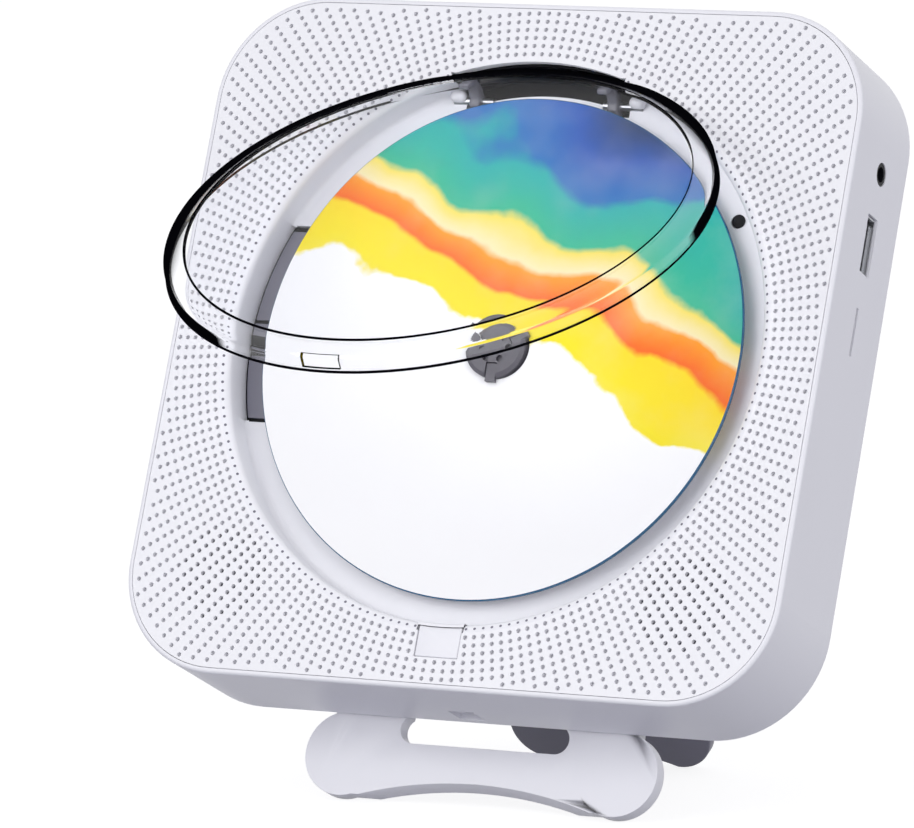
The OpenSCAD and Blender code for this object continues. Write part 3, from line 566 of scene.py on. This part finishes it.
def bayFloor():
    reach = bay["wall"] - bay["fillet"]
    outer = ringPoints(reach, 288)
    window = [(-bay["beyond"], bay["windowLow"]), (bay["windowRight"], bay["windowLow"]),
              (bay["windowRight"], bay["windowHigh"]), (-bay["beyond"], bay["windowHigh"])]
    legs = [[(s * bay["legIn"], bay["legLow"]), (s * bay["legOut"], bay["legLow"]),
             (s * bay["legOut"], bay["beyond"]), (s * bay["legIn"], bay["beyond"])] for s in (-1, 1)]
    across = [-bay["legIn"] + i * bay["legIn"] / 8 for i in range(17)]
    strap = [(x, math.sqrt(bay["pocketInner"] ** 2 - x * x)) for x in across]
    strap += [(bay["legIn"], bay["beyond"]), (-bay["legIn"], bay["beyond"])]
    eye = [(bay["irAcross"] + u, bay["irUp"] + v) for u, v in ringPoints(bay["irRadius"], 24)]
    hub = ringPoints(bay["hub"], 96)

    def keep(x, z):
        return (bay["hub"] - 0.02 < math.hypot(x, z) < reach and not inWindow(x, z) and not inPocket(x, z)
                and math.hypot(x - bay["irAcross"], z - bay["irUp"]) > bay["irRadius"])

    return flatSheet([outer, window, strap, eye, hub] + legs, keep, bay["floor"], bay["floorThick"])


# small dark discs on the roll where the last ring runs out, painted shade of half sunk holes
def bayHoleShadeDiscs():
    points, faces = [], []
    roll, wall = bay["roll"], bay["wall"]
    lean = math.asin((wall + roll - bay["shadeDiscRadius"]) / roll)
    depth = roll * (1 - math.cos(lean)) - 0.03
    for x, z in ringPoints(bay["shadeDiscRadius"], bay["shadeDiscs"], math.pi / 2):
        if (abs(x) < bay["pocketHalf"] + 1 and z > 0) or (abs(x) < bay["tabHalf"] + 0.6 and z < 0):
            continue
        out = Vector((x, 0, z)).normalized()
        side = Vector((-out.z, 0, out.x))
        down = out * -math.cos(lean) + Vector((0, math.sin(lean), 0))
        base, middle = len(points), Vector((x, depth, z))
        ring = ringPoints(bay["shadeDiscSize"], 10)
        points += [tuple(middle + side * u + down * v) for u, v in ring]
        faces.append(tuple(range(base, base + len(ring))))
    return points, faces


def makeBay():
    wallPoints, wallFaces = bayWall()
    floorPoints, floorFaces = bayFloor()
    shift = len(wallPoints)
    faces = [tuple(f) for f in wallFaces] + [tuple(i + shift for i in f) for f in floorFaces]
    piece = addPiece("bayDish", wallPoints + floorPoints, faces, "whiteBay", "housing")
    work = bmesh.new()
    work.from_mesh(piece.data)
    bmesh.ops.remove_doubles(work, verts=work.verts, dist=0.00002)
    for face in work.faces:
        face.smooth = abs(face.normal.y) < 0.999
    work.to_mesh(piece.data)
    work.free()
    piece.data.set_sharp_from_angle(angle=math.radians(40))
    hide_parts("disc_bay")
    points, faces = bayHoleShadeDiscs()
    # flat dark discs: painted shade standing in for the half sunk holes
    addPiece("rimHoleShadeDiscs", points, faces, "darkGreyAndHoleShade", "housing")


makeBay()
print("bay made")

# pale cloth in the two speaker openings, right behind the front skin
cloth = {"across": 58.0, "up": -58.0, "radius": 11.1, "middle": 0.5, "front": 1.6, "back": 2.2}
materials["paleCloth"] = plastic("paleCloth", (0.6, 0.6, 0.65), 0.9, 1400, 0.0001, 0.75, 0.1)
clothEdge = [(cloth["middle"], cloth["front"]), (cloth["middle"], cloth["back"]),
             (cloth["radius"], cloth["back"]), (cloth["radius"], cloth["front"])]
for number, s in enumerate((-1, 1)):
    revolve("speakerCloth%d" % (number + 1), clothEdge, "paleCloth", "housing", 48,
            (s * cloth["across"], cloth["up"]), False)

# ---- the deck that shows at the left of the disc, with its dark gap, clip and lining;
# the black lining is partly the mechanism's black underside and partly painted shade that keeps the gaps black
deck = {"front": 9.3, "thick": 1.6, "reach": 65.75, "low": -18.4, "high": 26.9, "right": 22.0, "shaft": 5,
        "crack": 4.6, "crackHalf": 0.45, "crackFrom": -70, "crackTo": -50,
        "slotLow": -6.5, "slotHigh": 3.5, "slotFrom": -58.5, "slotTo": -14,
        "lining": 9.9, "liningThick": 0.4, "liningReach": 0.7, "liningGrow": 1.3,
        "clipReach": 65.9, "clipEnd": -60.6, "clips": ((-1.5, 1.5, 8.9), (-3.4, -2.6, 9.0))}  # low, high and front


def deckOutline(reach, low, high, right):
    turnHigh, turnLow = math.pi - math.asin(high / reach), math.pi - math.asin(low / reach)
    arc = [turnHigh + (turnLow - turnHigh) * i / 40 for i in range(41)]
    return [(right, low), (right, high)] + [(reach * math.cos(a), reach * math.sin(a)) for a in arc]


def makeDeck():
    outline = deckOutline(deck["reach"], deck["low"], deck["high"], deck["right"])
    crackLow, crackHigh = deck["crack"] - deck["crackHalf"], deck["crack"] + deck["crackHalf"]
    crack = [(deck["crackFrom"], crackLow), (deck["crackTo"], crackLow),
             (deck["crackTo"], crackHigh), (deck["crackFrom"], crackHigh)]
    slot = [(deck["slotFrom"], deck["slotLow"]), (deck["slotTo"], deck["slotLow"]),
            (deck["slotTo"], deck["slotHigh"]), (deck["slotFrom"], deck["slotHigh"])]
    hole = ringPoints(deck["shaft"], 32)

    def keep(x, z):
        inside = math.hypot(x, z) < deck["reach"] and deck["low"] < z < deck["high"] and x < deck["right"]
        cracked = x < deck["crackTo"] and abs(z - deck["crack"]) < deck["crackHalf"]
        slotted = deck["slotFrom"] < x < deck["slotTo"] and deck["slotLow"] < z < deck["slotHigh"]
        return inside and not cracked and not slotted and math.hypot(x, z) > deck["shaft"]

    points, faces = flatSheet([outline, crack, slot, hole], keep, deck["front"], deck["thick"])
    piece = addPiece("deckPlate", points, faces, "deckGrey", "housing")
    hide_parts("mech_deck")
    # black lining behind the deck: partly the mechanism's own black, partly painted shade in the gaps
    reach, grow = deck["reach"] + deck["liningReach"], deck["liningGrow"]
    points, faces = flatSheet([deckOutline(reach, deck["low"] - grow, deck["high"] + grow, deck["right"] + grow)],
                              lambda x, z: math.hypot(x, z) < reach, deck["lining"], deck["liningThick"])
    addPiece("deckShadeLining", points, faces, "blackPlasticAndShade", "housing")
    points, faces = [], []
    block = ((0, 1, 2, 3), (0, 4, 5, 1), (1, 5, 6, 2), (2, 6, 7, 3), (3, 7, 4, 0))
    for low, high, front in deck["clips"]:
        base = len(points)
        arc = [(-math.sqrt(deck["clipReach"] ** 2 - z * z), z) for z in (low, high)]
        corners = (arc[0], (deck["clipEnd"], low), (deck["clipEnd"], high), arc[1])
        points += [(x, y, z) for y in (front, deck["front"] + 1) for x, z in corners]
        faces += [tuple(base + i for i in f) for f in block]
    addPiece("deckClip", points, faces, "blackPlasticAndShade", "housing")


makeDeck()
print("deck made")

# ---- lid: a clear shell with a flat face, a rounded edge and a short skirt, drawn shut and turned open
lid = {"open": 41.02, "hingeY": 8.6, "hingeZ": 59.13, "across": -0.6, "face": -1.24, "flat": 58.3, "radius": 63.41,
       "rim": 3.99, "round": 2.04, "wall": 0.9, "sides": 256, "faceRings": (12, 30, 48, 56, 57.6), "roundSteps": 12,
       "windowSides": 3, "windowLeft": 1, "windowTop": 13, "windowBottom": 2}


def lidSpot(point):
    x, y, z = point
    turn = math.radians(lid["open"])
    dy, dz = y - lid["hingeY"], z - lid["hingeZ"]
    return (x + lid["across"], lid["hingeY"] + dy * math.cos(turn) + dz * math.sin(turn),
            lid["hingeZ"] - dy * math.sin(turn) + dz * math.cos(turn))


def lidProfile(inset):
    rows = [(r, lid["face"] + inset) for r in lid["faceRings"]]
    wide, deep = lid["radius"] - lid["flat"] - inset * 0.6, lid["round"] - inset * 0.35
    for k in range(lid["roundSteps"] + 1):
        turn = math.pi / 2 * k / lid["roundSteps"]
        rows.append((lid["flat"] - inset * 0.4 + wide * math.sin(turn),
                     lid["face"] + inset + deep * (1 - math.cos(turn))))
    straight = rows[-1][1]
    rows += [(rows[-1][0], straight + (lid["rim"] - straight) * share) for share in (0.25, 0.5, 0.75, 1.0)]
    return rows


def makeLid():
    outer, inner = lidProfile(0), lidProfile(lid["wall"])
    count, sides = len(outer), lid["sides"]
    points = [(0, lid["face"], 0), (0, lid["face"] + lid["wall"], 0)]
    for rows in (outer, inner):
        for i in range(sides):
            a = 2 * math.pi * i / sides
            points += [(r * math.cos(a), y, r * math.sin(a)) for r, y in rows]
    low = sides * 3 // 4 - lid["windowLeft"]
    cut = range(low - lid["windowSides"], low + lid["windowSides"])
    cutRows = range(lid["windowTop"], count - lid["windowBottom"])
    faces = []

    def at(layer, i, k): return 2 + (layer * sides + i % sides) * count + k

    for i in range(sides):
        faces += [(0, at(0, i + 1, 0), at(0, i, 0)), (1, at(1, i, 0), at(1, i + 1, 0))]
        for k in range(count - 1):
            if i in cut and k in cutRows:
                continue
            faces.append((at(0, i, k), at(0, i + 1, k), at(0, i + 1, k + 1), at(0, i, k + 1)))
            faces.append((at(1, i, k + 1), at(1, i + 1, k + 1), at(1, i + 1, k), at(1, i, k)))
        faces.append((at(0, i, count - 1), at(0, i + 1, count - 1), at(1, i + 1, count - 1), at(1, i, count - 1)))
    for i in cut:
        for k, flip in ((cutRows[0], 1), (cutRows[-1] + 1, 0)):
            side = (at(0, i, k), at(0, i + 1, k), at(1, i + 1, k), at(1, i, k))
            faces.append(side if flip else side[::-1])
    for k in cutRows:
        for i, flip in ((cut[0], 0), (cut[-1] + 1, 1)):
            side = (at(0, i, k), at(0, i, k + 1), at(1, i, k + 1), at(1, i, k))
            faces.append(side if flip else side[::-1])
    piece = addPiece("lidShell", [lidSpot(p) for p in points], faces, "clearLid", "lid", True)
    piece.data.materials.append(materials["clearPaintedDarkEdge"])
    work = bmesh.new()
    work.from_mesh(piece.data)
    bmesh.ops.recalc_face_normals(work, faces=work.faces)
    work.to_mesh(piece.data)
    work.free()
    middle = playerPlace @ (Vector(lidSpot((0, lid["face"], 0))) / 1000)
    # faces beyond the flat face wear the painted dark edge
    for face in piece.data.polygons:
        if (face.center - middle).length * 1000 > lid["flat"] - 0.3:
            face.material_index = 1
    piece.data.set_sharp_from_angle(angle=math.radians(35))
    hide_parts("lid")


# a thin black bead along a circle of the lid, a painted dark refraction line, thicker towards its low side where the
# painted dark is wider
def lidPaintedDarkBead(name, radius, depth, thin, thick):
    points, faces = [], []
    sides, ring = 256, 8
    for i in range(sides):
        a = 2 * math.pi * i / sides
        size = thin + (thick - thin) * (0.5 - 0.5 * math.sin(a)) ** 2
        for u, v in ringPoints(size, ring):
            points.append(lidSpot(((radius + u) * math.cos(a), depth + v, (radius + u) * math.sin(a))))
    for i in range(sides):
        for k in range(ring):
            a, b = i * ring + k, i * ring + (k + 1) % ring
            c, d = ((i + 1) % sides) * ring + (k + 1) % ring, ((i + 1) % sides) * ring + k
            faces.append((a, b, c, d))
    addPiece(name, points, faces, "lidPaintedDarkLine", "lid", True)


# the two arms that run from under the lid's face to the hinge; side is their outline, in depth and height
arms = {"at": 17.6, "thick": 2.6, "drop": 1.07, "edge": 0.4,
        "side": [(0.2, 55.5), (1.2, 60.6), (4.6, 62.3), (7.4, 62.6), (9.2, 62.2), (10.4, 60.8), (10.3, 59.2), (9.0, 58.2),
                 (7.4, 58.4), (6.2, 59.4), (4.4, 59.6), (2.4, 59.3), (1.6, 55.5)]}


def makeArms():
    half, n = arms["thick"] / 2, len(arms["side"])
    faces = [tuple(range(n)), tuple(range(2 * n - 1, n - 1, -1))]
    faces += [(i, i + n, (i + 1) % n + n, (i + 1) % n) for i in range(n)]
    for number, s in enumerate((-1, 1)):
        points = [lidSpot((s * arms["at"] + t, y, z - arms["drop"])) for t in (-half, half) for y, z in arms["side"]]
        piece = addPiece("lidArm%d" % (number + 1), points, faces, "smokedClear", "lid", True)
        bevel = piece.modifiers.new("edge", "BEVEL")
        bevel.width, bevel.segments = arms["edge"] / 1000, 2


materials["smokedClear"] = plastic("smokedClear", (0.14, 0.14, 0.17), 0.2)
makeLid()
# two black beads painted as the lid's dark refraction lines, at the rim and where the face turns
lidPaintedDarkBead("lidRimPaintedDark", lid["radius"] - 0.1, lid["rim"] - 0.1, 0.24, 0.36)
lidPaintedDarkBead("lidFacePaintedDarkLine", lid["flat"], lid["face"] - 0.02, 0.12, 0.34)
makeArms()

# ---- the white ends of the hinge pins in the bay
pegs = {"in": 20.7, "out": 24.9, "depth": 7.6, "up": 61.0, "radius": 1.5}


def makePegs():
    for number, s in enumerate((-1, 1)):
        points, faces = [], []
        sides, r = 20, pegs["radius"]
        rows = []
        for k in range(7):
            rows.append((pegs["in"] + r * (1 - math.cos(math.pi / 2 * k / 6)), r * math.sin(math.pi / 2 * k / 6)))
        rows += [(pegs["in"] + pegs["out"] - x, size) for x, size in reversed(rows)]
        for x, size in rows:
            points += [(s * x, pegs["depth"] + u, pegs["up"] + v) for u, v in ringPoints(size, sides)]
        for k in range(len(rows) - 1):
            faces += [(k * sides + i, k * sides + (i + 1) % sides, (k + 1) * sides + (i + 1) % sides, (k + 1) * sides + i)
                      for i in range(sides)]
        addPiece("hingePeg%d" % (number + 1), points, faces, "whiteBay", "housing", True)


makePegs()
print("lid made")

# ---- floor, world and lamps
studio = {"bounce": (0.35, 0.35, 0.41), "paper": 0.34, "glow": 0.82, "sky": (0.94, 0.94, 1.0), "skyLight": 0.59,
          "keyPlace": (-1.2, -3.1, 1.4), "keySize": 2.4, "keyPower": 44,
          "fillPlace": (2.5, -1.8, 0.9), "fillSize": 1.8, "fillPower": 30, "lampGloss": 0.1, "floorHalf": 9}


# straight to the eye, in a mirror or through glass, floor and sky are white paper; other light sees plain surfaces
def seenRay(kit):
    path = kit.tree.nodes.new("ShaderNodeLightPath")
    seen = Wire(kit, path.outputs["Is Camera Ray"]) + Wire(kit, path.outputs["Is Glossy Ray"])
    return kit.node("ShaderNodeClamp", {}, {"Value": seen + Wire(kit, path.outputs["Is Transmission Ray"])})


def makeFloor():
    mesh = bpy.data.meshes.new("floor")
    half = studio["floorHalf"]
    mesh.from_pydata([(-half, -half, 0), (half, -half, 0), (half, half, 0), (-half, half, 0)], [], [(0, 1, 2, 3)])
    floor = bpy.data.objects.new("floor", mesh)
    bpy.context.scene.collection.objects.link(floor)
    kit = Finish("floorPaper")
    plain = kit.node("ShaderNodeBsdfDiffuse", {}, {"Color": rgba(studio["bounce"])})
    paper = kit.node("ShaderNodeBsdfDiffuse", {}, {"Color": rgba([studio["paper"]] * 3)})
    glow = kit.node("ShaderNodeEmission", {}, {"Color": (1, 1, 1, 1), "Strength": studio["glow"]})
    white = kit.node("ShaderNodeAddShader", {}, {0: paper, 1: glow})
    mesh.materials.append(kit.finish(kit.node("ShaderNodeMixShader", {}, {0: seenRay(kit), 1: plain, 2: white})))


def makeWorld():
    world = bpy.data.worlds.new("studio")
    bpy.context.scene.world = world
    kit = Finish("studio", world)
    soft = kit.node("ShaderNodeBackground", {}, {"Color": rgba(studio["sky"]), "Strength": studio["skyLight"]})
    white = kit.node("ShaderNodeBackground", {}, {"Color": (1, 1, 1, 1), "Strength": 1.0})
    shown = kit.node("ShaderNodeMixShader", {}, {0: seenRay(kit), 1: soft, 2: white})
    kit.node("ShaderNodeOutputWorld", {}, {"Surface": shown})


def addLamp(name, place, size, power, aim=(0, 0, 0.09)):
    data = bpy.data.lights.new(name, "AREA")
    data.size, data.energy, data.specular_factor = size, power, studio["lampGloss"]
    lamp = bpy.data.objects.new(name, data)
    lamp.location = place
    lamp.rotation_euler = (Vector(aim) - Vector(place)).to_track_quat("-Z", "Y").to_euler()
    bpy.context.scene.collection.objects.link(lamp)


makeFloor()
makeWorld()
addLamp("keyLamp", studio["keyPlace"], studio["keySize"], studio["keyPower"])
addLamp("fillLamp", studio["fillPlace"], studio["fillSize"], studio["fillPower"])
print("studio lit")
